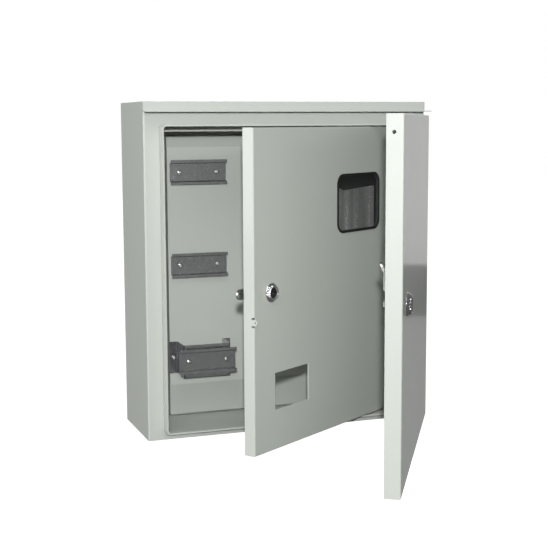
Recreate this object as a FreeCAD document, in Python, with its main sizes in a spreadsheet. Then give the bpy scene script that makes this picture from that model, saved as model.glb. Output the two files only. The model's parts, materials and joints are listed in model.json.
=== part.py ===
import FreeCAD, Part
import math
import os
import re

import Sketcher

# Electric meter box: a folded steel cabinet for a wall, with a rain ledge, an
# outer door and a recessed inner door, both hung on the right, three short rails
# over a mounting tray and a galvanised plate for the meter.
# X runs to the right, Y into the wall and Z up. The origin lies on the wall face,
# at the middle of the four fixing holes. Both doors stand open at their rest pose.

# Driving sizes, in millimetres and degrees
SIZES = {
    # Cabinet, its front frame and the lip round its opening
    "BoxWidth": 400, "BoxHeight": 445, "BoxDepth": 129, "Steel": 1.2, "CornerBend": 2,
    "FlangeSide": 21, "FlangeTop": 29.5, "FlangeBottom": 9.3,
    "LipReach": 15, "LipThick": 2.4, "LipCorner": 6,
    "FixingEdge": 30, "FixingEnd": 27.5, "FixingHole": 8,
    # Rain ledge over the outer door
    "LedgeReach": 22, "LedgeDrop": 13.5, "LedgeThick": 1.2,
    # Outer door, its hinge line and its two hinges
    "OuterOpen": 59, "OuterClear": 1.25, "OuterTopClear": 5, "OuterBottomClear": 3.5,
    "OuterDepth": 19.3, "OuterGap": 1.7, "OuterHingeInset": 10, "OuterHingeReach": 10.5,
    "LowFlange": 12, "LowFlangeWidth": 5.75, "DoorBend": 1.6,
    "HingeRise": 150, "HingeLeaf": 2, "HingeTongue": 2.5, "HingeWidth": 10, "HingeNose": 4, "HingeFoot": 9,
    "HingePin": 4, "PinHead": 7, "PinHeadHigh": 1.5, "PinProud": 1, "PinClear": 0.05, "LeafGap": 0.3,
    "NotchMargin": 2, "HangHole": 4.5, "HangHoleDrop": 19.5, "HangHoleDepth": 10.7,
    "SealWidth": 10, "SealGap": 0.4,
    # Inner door and its pivots
    "InnerOpen": 34.22, "InnerRecess": 23.4, "InnerDepth": 15.5, "InnerClear": 1.4,
    "InnerFreeClear": 7.2, "InnerHingeClear": 4, "PivotInset": 6, "PivotReach": 4,
    "PivotGap": 0.4, "PivotPlate": 2, "PivotWidth": 16, "PivotLegHigh": 16, "PivotLegLow": 9,
    # Opening for the meter window, its rubber ring and its pane
    "WindowWidth": 103, "WindowHeight": 75, "WindowCorner": 12.5, "WindowInset": 48.9, "WindowDrop": 63.2,
    "GasketOut": 1.6, "GasketIn": 1.5, "GasketWeb": 0.7, "GasketThick": 1, "GasketClear": 0.05,
    "PaneThick": 2,
    # Opening for the breakers, set over the lowest rail
    "SlotWidth": 73, "SlotHeight": 47, "SlotShift": 4.1,
    # Seal tab that stands at the free edge
    "TabHeight": 12, "TabReach": 4.6, "TabBack": 4, "TabRelief": 2.2, "TabHole": 2.4, "TabDrop": 32.8,
    # Lock of the outer door
    "OuterLockInset": 49, "OuterLockRise": -7.7, "OuterBezel": 27, "OuterBezelFront": 22,
    "OuterBezelHigh": 6.5, "OuterBarrel": 18, "OuterBarrelLong": 17.5, "OuterNut": 23, "OuterPlug": 12.9,
    "OuterCamDepth": 20.3, "OuterCamLong": 46.7, "OuterCamWide": 15,
    "JogStart": 13, "JogRun": 4, "JogDepth": 2.5, "TipStart": 35, "TipBend": 5,
    # Lock of the inner door
    "InnerLockInset": 35.5, "InnerLockRise": -11, "InnerBezel": 23, "InnerBezelFront": 17,
    "InnerBezelHigh": 5, "InnerBarrel": 16, "InnerBarrelLong": 17, "InnerNut": 21, "InnerPlug": 11,
    "InnerCamDepth": 19.5, "InnerCamLong": 42, "InnerCamWide": 13,
    # What both locks share
    "LockHoleClear": 0.15, "NutHigh": 4, "PlugSink": 0.6, "KeySlotLong": 7, "KeySlotWide": 1.6,
    "KeySlotDeep": 4, "ShankSquare": 7, "ShankClear": 0.1, "CamThick": 2.5, "CamScrewWide": 10, "CamScrewHigh": 3,
    # Strip above and strike beside the inner door
    "StopGap": 0.4, "StopDrop": 37.6, "StopFoot": 12, "StopEnd": 148,
    "StrikeGap": 0.5, "StrikeThick": 2, "StrikeReach": 27.8, "StrikeHeight": 40, "StrikeFoot": 17,
    # Mounting tray and the plate on it
    "TrayLeft": -139, "TrayRight": 150, "TrayTop": 176.5, "TrayFloor": 0.8, "TrayStand": 10.8,
    "TraySheet": 1.5, "TrayBend": 3, "PlateTop": 161.5, "PlateBottom": -175.7, "PlateThick": 1.5,
    # Rails and their rivets
    "RailHigh": 35, "RailDepth": 7.5, "RailWeb": 27, "RailThick": 1, "RailBend": 1.6, "RailLong": 82,
    "RailCentre": -94.5, "RailStep": 131.1, "RailMiddle": -4.6, "RivetStep": 54.5, "RivetHead": 6.2, "RivetHeadHigh": 1.6,
    "RivetShank": 3.2, "RivetTail": 1.3, "HoleClear": 0.1, "CutMargin": 1,
    # Bracket that stands the lowest rail off the plate
    "BracketStand": 37, "BracketWide": 68, "BracketHigh": 45.5, "BracketEar": 11, "BracketSheet": 1.5,
    "BracketBend": 2.5, "EarScrewHead": 6, "EarScrewHeadHigh": 2, "EarScrewShank": 3.5,
    # Meter plate
    "MeterLeft": 22, "MeterStep": 140, "MeterRight": 170, "MeterTop": 102.6, "MeterBottom": -72.5,
    "MeterStand": 18.5, "MeterJog": 1.5, "MeterSheet": 1.5, "MeterFlange": 8, "MeterEdgeBend": 1,
    "NotchStart": 109, "NotchLow": 120, "NotchDeep": 6, "NotchEnd": 168,
    "SpacerLeft": 45, "SpacerRight": 100, "SpacerEnd": 18, "Spacer": 12,
    "MeterScrewHead": 7.6, "MeterScrewHeadHigh": 2.6, "MeterScrewShank": 4,
    "MeterSlotLong": 24, "MeterSlotWide": 5,
    # Black insulating board that the spacers stand on
    "BoardLeft": 30, "BoardRight": 184, "BoardTop": 140, "BoardBottom": -85, "BoardThick": 2.5,
}

# How far apart two places may be and still count as the same
NEAR = 1e-3

doc = FreeCAD.newDocument("MeterBox")
sheet = doc.addObject("Spreadsheet::Sheet", "Sizes")
for row, (alias, size) in enumerate(SIZES.items(), start=1):
    sheet.set("A%d" % row, alias)
    sheet.set("B%d" % row, str(size))
    sheet.setAlias("B%d" % row, alias)
doc.recompute()

# Places that several pieces share, as formulas of the sizes
FRONT = "(-BoxDepth)"
OPEN_LEFT = "(-BoxWidth / 2 + FlangeSide)"
OPEN_BOTTOM = "(-BoxHeight / 2 + FlangeBottom)"
OPEN_WIDTH = "(BoxWidth - 2 * FlangeSide)"
OPEN_HEIGHT = "(BoxHeight - FlangeTop - FlangeBottom)"

# Outer door, measured from its hinge line with the door closed
OUTER_X = "(BoxWidth / 2 - OuterHingeInset)"
OUTER_Y = "(-BoxDepth - OuterHingeReach)"
OUTER_FACE = "(OuterHingeReach - OuterGap - OuterDepth)"
OUTER_BACK = "(OuterHingeReach - OuterGap)"
OUTER_WIDTH = "(BoxWidth - 2 * OuterClear)"
OUTER_EDGE = "(OuterHingeInset - OuterClear)"
OUTER_FREE = "(OuterHingeInset + OuterClear - BoxWidth)"
OUTER_TOP = "(BoxHeight / 2 - LedgeDrop - OuterTopClear)"
OUTER_BOTTOM = "(-BoxHeight / 2 + OuterBottomClear)"

# Inner door, measured from its pivot line with the door closed
INNER_X = "(BoxWidth / 2 - FlangeSide - LipThick - InnerHingeClear - PivotInset)"
INNER_Y = "(InnerRecess + PivotInset - BoxDepth)"
INNER_FACE = "(-PivotInset)"
INNER_BACK = "(InnerDepth - PivotInset)"
INNER_WIDTH = "(%s - 2 * LipThick - InnerHingeClear - InnerFreeClear)" % OPEN_WIDTH
INNER_FREE = "(PivotInset - %s)" % INNER_WIDTH
INNER_TOP = "(BoxHeight / 2 - FlangeTop - LipThick - InnerClear)"
INNER_BOTTOM = "(-BoxHeight / 2 + FlangeBottom + LipThick + InnerClear)"
WINDOW_X = "(-WindowInset - WindowWidth)"
WINDOW_Z = "(%s - WindowDrop - WindowHeight)" % INNER_TOP

# Tray, plate and rails
TRAY_FACE = "(-Steel - TrayStand)"
PLATE_FACE = "(-Steel - TrayStand - PlateThick)"
BRACKET_FACE = "(%s - BracketStand)" % PLATE_FACE
METER_FACE = "(%s - MeterStand)" % PLATE_FACE
BOARD_FACE = "(%s - BoardThick)" % PLATE_FACE
RAIL_LOW = "(RailMiddle - RailStep)"
RAIL_HIGH = "(RailMiddle + RailStep)"

# Locks: the prefix of their sizes, then x, z and the door's face
LOCKS = {
    "Outer": ("(%s + OuterLockInset)" % OUTER_FREE, "OuterLockRise", OUTER_FACE),
    "Inner": ("(%s + InnerLockInset)" % INNER_FREE, "InnerLockRise", INNER_FACE),
}


def cells(formula):
    """Returns a formula with each size replaced by its cell in the sheet."""
    def cell(word):
        return "Sizes." + word.group() if word.group() in SIZES else word.group()
    return re.sub(r"[A-Za-z_][A-Za-z_0-9]*", cell, str(formula))


def measure(formula):
    """Returns a formula's present number."""
    return float(sheet.evalExpression(cells(formula)))


def bind(item, **formulas):
    """Binds properties of an object to formulas of the sizes."""
    for name, formula in formulas.items():
        item.setExpression(name, cells(formula))


def new_body(label, x="0", y="0", turn="0"):
    """Starts a sub-part, whose label names its file, at its place and its upright turn."""
    body = doc.addObject("PartDesign::Body", label)
    body.Label = label
    body.Placement.Rotation = FreeCAD.Rotation(FreeCAD.Vector(0, 0, 1), measure(turn))
    for name, formula in (("Base.x", x), ("Base.y", y), ("Rotation.Angle", turn)):
        body.setExpression("Placement." + name, cells(formula))
    return body


def outer_body(label):
    """Starts a sub-part of the outer door, drawn closed about the hinge line."""
    return new_body(label, OUTER_X, OUTER_Y, "OuterOpen")


def inner_body(label):
    """Starts a sub-part of the inner door, drawn closed about the pivot line."""
    return new_body(label, INNER_X, INNER_Y, "InnerOpen")


def new_sketch(body, role, offset):
    """Lays a sketch on one of the body's own planes, moved along its normal."""
    sketch = body.newObject("Sketcher::SketchObject", body.Name + "Sketch")
    plane = [item for item in body.Origin.OriginFeatures if item.Role == role][0]
    sketch.AttachmentSupport = [(plane, "")]
    sketch.MapMode = "FlatFace"
    sketch.setExpression("AttachmentOffset.Base.z", cells(offset))
    return sketch


def front_sketch(body, y):
    """Lays a sketch of x and z at a depth y, whose normal points out of the wall."""
    return new_sketch(body, "XZ_Plane", "-(%s)" % y)


def side_sketch(body, x="0"):
    """Lays a sketch of y and z at a place x."""
    return new_sketch(body, "YZ_Plane", x)


def plan_sketch(body, z="0"):
    """Lays a sketch of x and y at a height z."""
    return new_sketch(body, "XY_Plane", z)


def hold(sketch, kind, *ends, formula):
    """Adds a dimension to a sketch and binds it to a formula."""
    index = sketch.addConstraint(Sketcher.Constraint(kind, *ends, measure(formula)))
    sketch.setExpression("Constraints[%d]" % index, cells(formula))


def draw_outline(sketch, corners):
    """Draws a closed outline through corners given as pairs of formulas."""
    points = [FreeCAD.Vector(measure(x), measure(y), 0) for x, y in corners]
    count = len(points)
    first = sketch.GeometryCount
    for i in range(count):
        sketch.addGeometry(Part.LineSegment(points[i], points[(i + 1) % count]), False)
    for i in range(count):
        following = first + (i + 1) % count
        sketch.addConstraint(Sketcher.Constraint("Coincident", first + i, 2, following, 1))
    for i, (x, y) in enumerate(corners):
        hold(sketch, "DistanceX", -1, 1, first + i, 1, formula=x)
        hold(sketch, "DistanceY", -1, 1, first + i, 1, formula=y)


def draw_box(sketch, left, low, width, height):
    """Draws a rectangle from its lower left corner."""
    right = "%s + %s" % (left, width)
    top = "%s + %s" % (low, height)
    draw_outline(sketch, [(left, low), (right, low), (right, top), (left, top)])


def draw_round_box(sketch, left, low, width, height, radius):
    """Draws a rectangle with rounded corners from its lower left corner."""
    x, y, w, h, r = [measure(item) for item in (left, low, width, height, radius)]
    sides = [((x + r, y), (x + w - r, y)), ((x + w, y + r), (x + w, y + h - r)),
             ((x + w - r, y + h), (x + r, y + h)), ((x, y + h - r), (x, y + r))]
    centres = [(x + w - r, y + r), (x + w - r, y + h - r), (x + r, y + h - r), (x + r, y + r)]
    first = sketch.GeometryCount
    for i in range(4):
        start, end = [FreeCAD.Vector(a, b, 0) for a, b in sides[i]]
        sketch.addGeometry(Part.LineSegment(start, end), False)
        circle = Part.Circle(FreeCAD.Vector(*centres[i], 0), FreeCAD.Vector(0, 0, 1), r)
        arc = Part.ArcOfCircle(circle, (i - 1) * math.pi / 2, i * math.pi / 2)
        sketch.addGeometry(arc, False)
    for i in range(4):
        line, arc, following = first + 2 * i, first + 2 * i + 1, first + (2 * i + 2) % 8
        sketch.addConstraint(Sketcher.Constraint("Tangent", line, 2, arc, 1))
        sketch.addConstraint(Sketcher.Constraint("Tangent", arc, 2, following, 1))
        sketch.addConstraint(Sketcher.Constraint("Vertical" if i % 2 else "Horizontal", line))
    for i in range(1, 3):
        sketch.addConstraint(Sketcher.Constraint("Equal", first + 1, first + 2 * i + 1))
    hold(sketch, "Radius", first + 1, formula=radius)
    hold(sketch, "DistanceX", -1, 1, first + 6, 1, formula=left)
    hold(sketch, "DistanceY", -1, 1, first, 1, formula=low)
    hold(sketch, "DistanceX", first + 6, 1, first + 2, 1, formula=width)
    hold(sketch, "DistanceY", first, 1, first + 4, 1, formula=height)


def draw_circle(sketch, x, y, width):
    """Draws a circle of a given diameter."""
    centre = FreeCAD.Vector(measure(x), measure(y), 0)
    index = sketch.addGeometry(Part.Circle(centre, FreeCAD.Vector(0, 0, 1), measure(width) / 2), False)
    hold(sketch, "DistanceX", -1, 1, index, 3, formula=x)
    hold(sketch, "DistanceY", -1, 1, index, 3, formula=y)
    hold(sketch, "Diameter", index, formula=width)


def pad(body, sketch, length, backward=False, middle=False):
    """Pads a sketch along its plane's normal, or against it, or both ways."""
    item = body.newObject("PartDesign::Pad", sketch.Name + "Pad")
    item.Profile = sketch
    item.Reversed = backward
    item.Midplane = middle
    bind(item, Length=length)
    doc.recompute()


def pocket(body, sketch, length, along=False, middle=False):
    """Cuts a sketch against its plane's normal, or along it, or both ways."""
    before = body.Shape.Volume
    item = body.newObject("PartDesign::Pocket", sketch.Name + "Pocket")
    item.Profile = sketch
    item.Reversed = along
    item.Midplane = middle
    bind(item, Length=length)
    doc.recompute()
    if not body.Shape.Volume < before - 1e-6:
        raise RuntimeError("%s cuts nothing" % item.Name)


def turned(body, x, z, outline):
    """Revolves an outline of radius and depth about an axis along Y."""
    sketch = plan_sketch(body, z)
    sketch.setExpression("AttachmentOffset.Base.x", cells(x))
    draw_outline(sketch, outline)
    item = body.newObject("PartDesign::Revolution", sketch.Name + "Turned")
    item.Profile = sketch
    item.ReferenceAxis = (sketch, ["V_Axis"])
    item.Angle = 360
    doc.recompute()


def round_edges(body, radius, chosen):
    """Fillets the edges of a body for which chosen(edge) holds."""
    base = body.Tip
    names = ["Edge%d" % (i + 1) for i, edge in enumerate(base.Shape.Edges) if chosen(edge)]
    if not names:
        raise RuntimeError("%s has no such edges" % body.Name)
    item = body.newObject("PartDesign::Fillet", body.Name + "Fillet")
    item.Base = (base, names)
    bind(item, Radius=radius)
    doc.recompute()


def runs_along(edge, axis):
    """Tells whether an edge is straight and runs along X, Y or Z."""
    if not isinstance(edge.Curve, (Part.Line, Part.LineSegment)):
        return False
    return abs(getattr(edge.Curve.Direction, axis)) > 1 - NEAR


def lies_at(edge, axis, formula):
    """Tells whether an edge lies in the plane at a given place along an axis."""
    level = measure(formula)
    spots = [vertex.Point for vertex in edge.Vertexes]
    spots.append(edge.valueAt((edge.FirstParameter + edge.LastParameter) / 2))
    return all(abs(getattr(spot, axis) - level) < NEAR for spot in spots)


def bend_folds(body, axis, across, folds, bend, sheet):
    """Rounds the folds of a sheet along an axis: its outer and its inner corners, as pairs of y and a place across."""
    for corners, radius in zip(folds, (bend, "%s - %s" % (bend, sheet))):
        round_edges(body, radius, lambda edge: runs_along(edge, axis) and any(
            lies_at(edge, "y", y) and lies_at(edge, across, place) for y, place in corners))


def folded_tray(body, left, low, width, height, face, back, thick):
    """Folds a sheet into a tray: a face with a flange bent back on all four sides."""
    outline = front_sketch(body, face)
    draw_box(outline, left, low, width, height)
    pad(body, outline, "%s - %s" % (back, face), backward=True)
    hollow = front_sketch(body, back)
    draw_box(hollow, "%s + %s" % (left, thick), "%s + %s" % (low, thick),
             "%s - 2 * %s" % (width, thick), "%s - 2 * %s" % (height, thick))
    pocket(body, hollow, "%s - %s - %s" % (back, face, thick), along=True)


def disc(body, x, z, width, start, length):
    """Pads a disc about an axis along Y, from start towards the wall."""
    outline = front_sketch(body, start)
    draw_circle(outline, x, z, width)
    pad(body, outline, length, backward=True)


def bore(body, holes, width, start, length):
    """Cuts round holes along Y, centred at pairs of x and z, from start towards the wall."""
    outline = front_sketch(body, start)
    for x, z in holes:
        draw_circle(outline, x, z, width)
    pocket(body, outline, length)


def hexagon(body, x, z, across, start, length):
    """Pads a hexagon of a given width across its flats, from start towards the wall."""
    outline = front_sketch(body, start)
    flat, point, shoulder = "(%s / 2)" % across, "(%s / sqrt(3))" % across, "(%s / sqrt(12))" % across
    corners = [("0", point), (flat, shoulder), (flat, "-" + shoulder),
               ("0", "-" + point), ("-" + flat, "-" + shoulder), ("-" + flat, shoulder)]
    draw_outline(outline, [("%s + (%s)" % (x, a), "%s + (%s)" % (z, b)) for a, b in corners])
    pad(body, outline, length, backward=True)


def upright_disc(body, x, y, width, low, length):
    """Pads a disc about an upright axis, upwards from low."""
    plan = plan_sketch(body, low)
    draw_circle(plan, x, y, width)
    pad(body, plan, length)


def upright_bore(body, x, y, width, low, length):
    """Cuts an upright round hole, upwards from low."""
    plan = plan_sketch(body, low)
    draw_circle(plan, x, y, width)
    pocket(body, plan, length, along=True)


def build_cabinet():
    """Folded shell: back, sides, top, floor and a front frame with a lip round the opening."""
    body = new_body("cabinet_shell")
    plan = plan_sketch(body)
    draw_box(plan, "-BoxWidth / 2", FRONT, "BoxWidth", "BoxDepth")
    pad(body, plan, "BoxHeight", middle=True)
    round_edges(body, "CornerBend", lambda edge: runs_along(edge, "z"))
    inside = plan_sketch(body)
    draw_box(inside, "-BoxWidth / 2 + Steel", "%s + Steel" % FRONT,
             "BoxWidth - 2 * Steel", "BoxDepth - 2 * Steel")
    pocket(body, inside, "BoxHeight - 2 * Steel", middle=True)
    lip = front_sketch(body, FRONT)
    draw_round_box(lip, OPEN_LEFT, OPEN_BOTTOM, OPEN_WIDTH, OPEN_HEIGHT, "LipCorner")
    pad(body, lip, "LipReach")
    mouth = front_sketch(body, "%s - LipReach" % FRONT)
    draw_round_box(mouth, "%s + LipThick" % OPEN_LEFT, "%s + LipThick" % OPEN_BOTTOM,
                   "%s - 2 * LipThick" % OPEN_WIDTH, "%s - 2 * LipThick" % OPEN_HEIGHT, "LipCorner - LipThick")
    pocket(body, mouth, "LipReach + Steel")
    holes = [("%d * (BoxWidth / 2 - FixingEdge)" % i, "%d * (BoxHeight / 2 - FixingEnd)" % j)
             for i in (-1, 1) for j in (-1, 1)]
    bore(body, holes, "FixingHole", "-Steel", "Steel")
    return body


def build_rain_ledge():
    """Angle along the top edge, whose lower leg stands out over the outer door."""
    body = new_body("rain_ledge")
    side = side_sketch(body)
    low, top = "BoxHeight / 2 - LedgeDrop", "BoxHeight / 2"
    leg, nose = "%s - LedgeThick" % FRONT, "%s - LedgeReach" % FRONT
    draw_outline(side, [(FRONT, low), (FRONT, top), (leg, top), (leg, "%s + LedgeThick" % low),
                        (nose, "%s + LedgeThick" % low), (nose, low)])
    pad(body, side, "BoxWidth", middle=True)
    return body


def build_door_stop():
    """Angle under the roof against which the inner door's top flange closes."""
    body = new_body("door_stop_strip")
    side = side_sketch(body, "-BoxWidth / 2 + Steel")
    front = "(%s + InnerRecess + InnerDepth + StopGap)" % FRONT
    roof = "(BoxHeight / 2 - Steel)"
    draw_outline(side, [
        (front, "%s - StopDrop" % roof), (front, roof), ("%s + StopFoot" % front, roof),
        ("%s + StopFoot" % front, "%s - Steel" % roof), ("%s + Steel" % front, "%s - Steel" % roof),
        ("%s + Steel" % front, "%s - StopDrop" % roof)])
    pad(body, side, "BoxWidth / 2 - Steel + StopEnd")
    return body


def build_lock_strike():
    """Angle on the left wall behind which the inner door's cam turns."""
    body = new_body("lock_strike")
    plan = plan_sketch(body, "InnerLockRise")
    wall = "(-BoxWidth / 2 + Steel)"
    back = "(%s + InnerRecess + InnerCamDepth - StrikeGap)" % FRONT
    end = "(%s - StrikeThick + StrikeFoot)" % back
    draw_outline(plan, [
        (wall, "%s - StrikeThick" % back), (wall, end), ("%s + StrikeThick" % wall, end),
        ("%s + StrikeThick" % wall, back), ("%s + StrikeReach" % wall, back),
        ("%s + StrikeReach" % wall, "%s - StrikeThick" % back)])
    pad(body, plan, "StrikeHeight", middle=True)
    return body


def build_mounting_tray():
    """Tray with its flanges bent back to the rear wall."""
    body = new_body("mounting_tray")
    low = "(-BoxHeight / 2 + Steel + TrayFloor)"
    folded_tray(body, "TrayLeft", low, "(TrayRight - TrayLeft)", "(TrayTop - %s)" % low,
                TRAY_FACE, "(-Steel)", "TraySheet")
    round_edges(body, "TrayBend", lambda edge: lies_at(edge, "y", TRAY_FACE) and runs_along(edge, "x"))
    return body


def rivet_places():
    """Returns the two places along a rail where it is riveted."""
    return ["(RailCentre + %d * RivetStep / 2)" % i for i in (-1, 1)]


def ear_places():
    """Returns the middles of the bracket's two ears."""
    return ["(RailCentre + %d * (BracketWide + BracketEar) / 2)" % i for i in (-1, 1)]


def build_component_plate():
    """Flat plate on the mounting tray, which carries the rails."""
    body = new_body("component_plate")
    outline = front_sketch(body, PLATE_FACE)
    draw_box(outline, "TrayLeft", "PlateBottom", "(TrayRight - TrayLeft)", "(PlateTop - PlateBottom)")
    pad(body, outline, "PlateThick", backward=True)
    holes = [(x, z) for x in rivet_places() for z in ("RailMiddle", RAIL_HIGH)]
    bore(body, holes, "RivetShank + HoleClear", PLATE_FACE, "PlateThick")
    return body


def build_rail(label, rise, seat):
    """Top-hat rail with both edges turned out, its web on the seat and two rivet holes."""
    body = new_body(label)
    side = side_sketch(body, "RailCentre")
    half, web = "RailHigh / 2", "RailWeb / 2"
    edge = "(%s - RailDepth)" % seat
    front = [(edge, half), (edge, "%s - RailThick" % web), ("%s - RailThick" % seat, "%s - RailThick" % web)]
    rear = [(seat, web), ("%s + RailThick" % edge, web), ("%s + RailThick" % edge, half)]
    corners = [(y, "%s + (%s)" % (rise, z)) for y, z in front]
    corners += [(y, "%s - (%s)" % (rise, z)) for y, z in reversed(front)]
    corners += [(y, "%s - (%s)" % (rise, z)) for y, z in reversed(rear)]
    corners += [(y, "%s + (%s)" % (rise, z)) for y, z in rear]
    draw_outline(side, corners)
    pad(body, side, "RailLong", middle=True)
    outer = [(y, "%s %s (%s)" % (rise, sign, z)) for y, z in (front[1], rear[0]) for sign in "+-"]
    inner = [(y, "%s %s (%s)" % (rise, sign, z)) for y, z in (front[2], rear[1]) for sign in "+-"]
    bend_folds(body, "x", "z", (outer, inner), "RailBend", "RailThick")
    bore(body, [(x, rise) for x in rivet_places()], "RivetShank + HoleClear", "%s - RailThick" % seat, "RailThick")
    return body


def build_fasteners(label, spots, draw_head, head, head_high, shank, depth):
    """Fasteners along Y at spots given as x, z and the face that the head, a disc or a hexagon, sits on."""
    body = new_body(label)
    for x, z, seat in spots:
        draw_head(body, x, z, head, "%s - %s" % (seat, head_high), head_high)
        disc(body, x, z, shank, seat, depth)
    return body


def build_rail_bracket():
    """Hat bracket that carries the lowest rail, with an ear on each side."""
    body = new_body("rail_bracket")
    plan = plan_sketch(body, RAIL_LOW)
    inner = [("BracketWide / 2 - BracketSheet", "%s + BracketSheet" % BRACKET_FACE),
             ("BracketWide / 2 - BracketSheet", PLATE_FACE), ("BracketWide / 2 + BracketEar", PLATE_FACE)]
    outer = [("BracketWide / 2 + BracketEar", "%s - BracketSheet" % PLATE_FACE),
             ("BracketWide / 2", "%s - BracketSheet" % PLATE_FACE), ("BracketWide / 2", BRACKET_FACE)]
    half = inner + outer
    corners = [("RailCentre + (%s)" % x, y) for x, y in half]
    corners += [("RailCentre - (%s)" % x, y) for x, y in reversed(half)]
    draw_outline(plan, corners)
    pad(body, plan, "BracketHigh", middle=True)
    convex = [(y, "RailCentre %s (%s)" % (sign, x)) for x, y in (inner[1], outer[2]) for sign in "+-"]
    concave = [(y, "RailCentre %s (%s)" % (sign, x)) for x, y in (inner[0], outer[1]) for sign in "+-"]
    bend_folds(body, "z", "x", (convex, concave), "BracketBend", "BracketSheet")
    bore(body, [(x, RAIL_LOW) for x in rivet_places()], "RivetShank + HoleClear", BRACKET_FACE, "BracketSheet")
    bore(body, [(x, RAIL_LOW) for x in ear_places()], "EarScrewShank + HoleClear",
         "%s - BracketSheet" % PLATE_FACE, "BracketSheet")
    return body


def build_insulating_board():
    """Flat board behind the meter plate, wider and taller than it."""
    body = new_body("insulating_board")
    outline = front_sketch(body, BOARD_FACE)
    draw_box(outline, "BoardLeft", "BoardBottom", "(BoardRight - BoardLeft)", "(BoardTop - BoardBottom)")
    pad(body, outline, "BoardThick", backward=True)
    return body


def spacer_places():
    """Returns x, z and the meter plate's face at each of the four spacers."""
    levels = ("MeterBottom + SpacerEnd", "MeterTop - SpacerEnd")
    return [(x, z, METER_FACE) for x in ("SpacerLeft", "SpacerRight") for z in levels]


def build_meter_plate():
    """Galvanised plate for the meter: a shallow step, edges bent back, a notch on top and slots for its feet."""
    body = new_body("meter_plate")
    plan = plan_sketch(body, "MeterBottom")
    face, t = METER_FACE, "MeterSheet"
    low = "(%s + MeterJog)" % face
    draw_outline(plan, [
        ("MeterLeft", "%s + MeterFlange" % face), ("MeterLeft", face), ("MeterStep", face),
        ("MeterStep + MeterJog", low), ("MeterRight", low), ("MeterRight", "%s + MeterFlange" % low),
        ("MeterRight - %s" % t, "%s + MeterFlange" % low), ("MeterRight - %s" % t, "%s + %s" % (low, t)),
        ("MeterStep + MeterJog - %s / 2" % t, "%s + %s" % (low, t)),
        ("MeterStep - %s / 2" % t, "%s + %s" % (face, t)),
        ("MeterLeft + %s" % t, "%s + %s" % (face, t)), ("MeterLeft + %s" % t, "%s + MeterFlange" % face)])
    pad(body, plan, "MeterTop - MeterBottom")
    for x, depth in (("MeterLeft", face), ("MeterRight", low)):
        round_edges(body, "MeterEdgeBend", lambda edge: runs_along(edge, "z") and lies_at(edge, "x", x)
                    and lies_at(edge, "y", depth))
    notch = front_sketch(body, face)
    draw_outline(notch, [("NotchStart", "MeterTop"), ("NotchLow", "MeterTop - NotchDeep"), ("NotchEnd", "MeterTop")])
    pocket(body, notch, "MeterJog + %s" % t)
    slots = front_sketch(body, face)
    for i in (-1, 1):
        x = "(MeterLeft + MeterStep - MeterSlotWide) / 2 + %d * MeterSlotLong" % i
        draw_round_box(slots, x, "MeterBottom + 2 * SpacerEnd", "MeterSlotWide", "MeterSlotLong", "0.45 * MeterSlotWide")
    pocket(body, slots, t)
    bore(body, [(x, z) for x, z, near in spacer_places()], "MeterScrewShank + HoleClear", face, t)
    return body


def build_spacers():
    """Hexagonal spacers between the board and the meter plate, bored for their screws."""
    body = new_body("meter_plate_spacers")
    for x, z, face in spacer_places():
        start = "(%s + MeterSheet)" % face
        hexagon(body, x, z, "Spacer", start, "%s - %s" % (BOARD_FACE, start))
        bore(body, [(x, z)], "MeterScrewShank + HoleClear", start, "%s - %s" % (BOARD_FACE, start))
    return body


def build_outer_brackets():
    """Hinge angles on the front frame: a level tongue for the pin over a foot on the frame."""
    body = new_body("outer_hinge_brackets")
    nose = "%s - HingeNose" % OUTER_Y
    for i in (-1, 1):
        rise = "%d * HingeRise" % i
        side = side_sketch(body, OUTER_X)
        draw_outline(side, [
            (nose, rise), (FRONT, rise), (FRONT, "%s - HingeFoot" % rise),
            ("%s - HingeLeaf" % FRONT, "%s - HingeFoot" % rise),
            ("%s - HingeLeaf" % FRONT, "%s - HingeTongue" % rise), (nose, "%s - HingeTongue" % rise)])
        pad(body, side, "HingeWidth", middle=True)
        upright_bore(body, OUTER_X, OUTER_Y, "HingePin + 2 * PinClear", "%s - HingeTongue" % rise, "HingeTongue")
    round_edges(body, "0.8 * HingeNose", lambda edge: runs_along(edge, "z") and lies_at(edge, "y", nose))
    return body


def build_outer_knuckles():
    """Leaves inside the outer door: a level tongue on the pin under a foot on the skin."""
    body = outer_body("outer_door_knuckles")
    skin = "(%s + Steel)" % OUTER_FACE
    for i in (-1, 1):
        low = "(%d * HingeRise + LeafGap)" % i
        side = side_sketch(body)
        draw_outline(side, [
            (skin, low), ("HingeNose", low), ("HingeNose", "%s + HingeTongue" % low),
            ("%s + HingeLeaf" % skin, "%s + HingeTongue" % low), ("%s + HingeLeaf" % skin, "%s + HingeFoot" % low),
            (skin, "%s + HingeFoot" % low)])
        pad(body, side, "HingeWidth", middle=True)
        upright_bore(body, "0", "0", "HingePin + 2 * PinClear", low, "HingeTongue")
    round_edges(body, "0.8 * HingeNose", lambda edge: runs_along(edge, "z") and lies_at(edge, "y", "HingeNose"))
    return body


def build_outer_pins():
    """Hinge pins with a head under each angle."""
    body = new_body("outer_hinge_pins")
    for i in (-1, 1):
        seat = "(%d * HingeRise - HingeTongue)" % i
        upright_disc(body, OUTER_X, OUTER_Y, "PinHead", "%s - PinHeadHigh" % seat, "PinHeadHigh")
        upright_disc(body, OUTER_X, OUTER_Y, "HingePin", seat, "2 * HingeTongue + LeafGap + PinProud")
    return body


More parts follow.
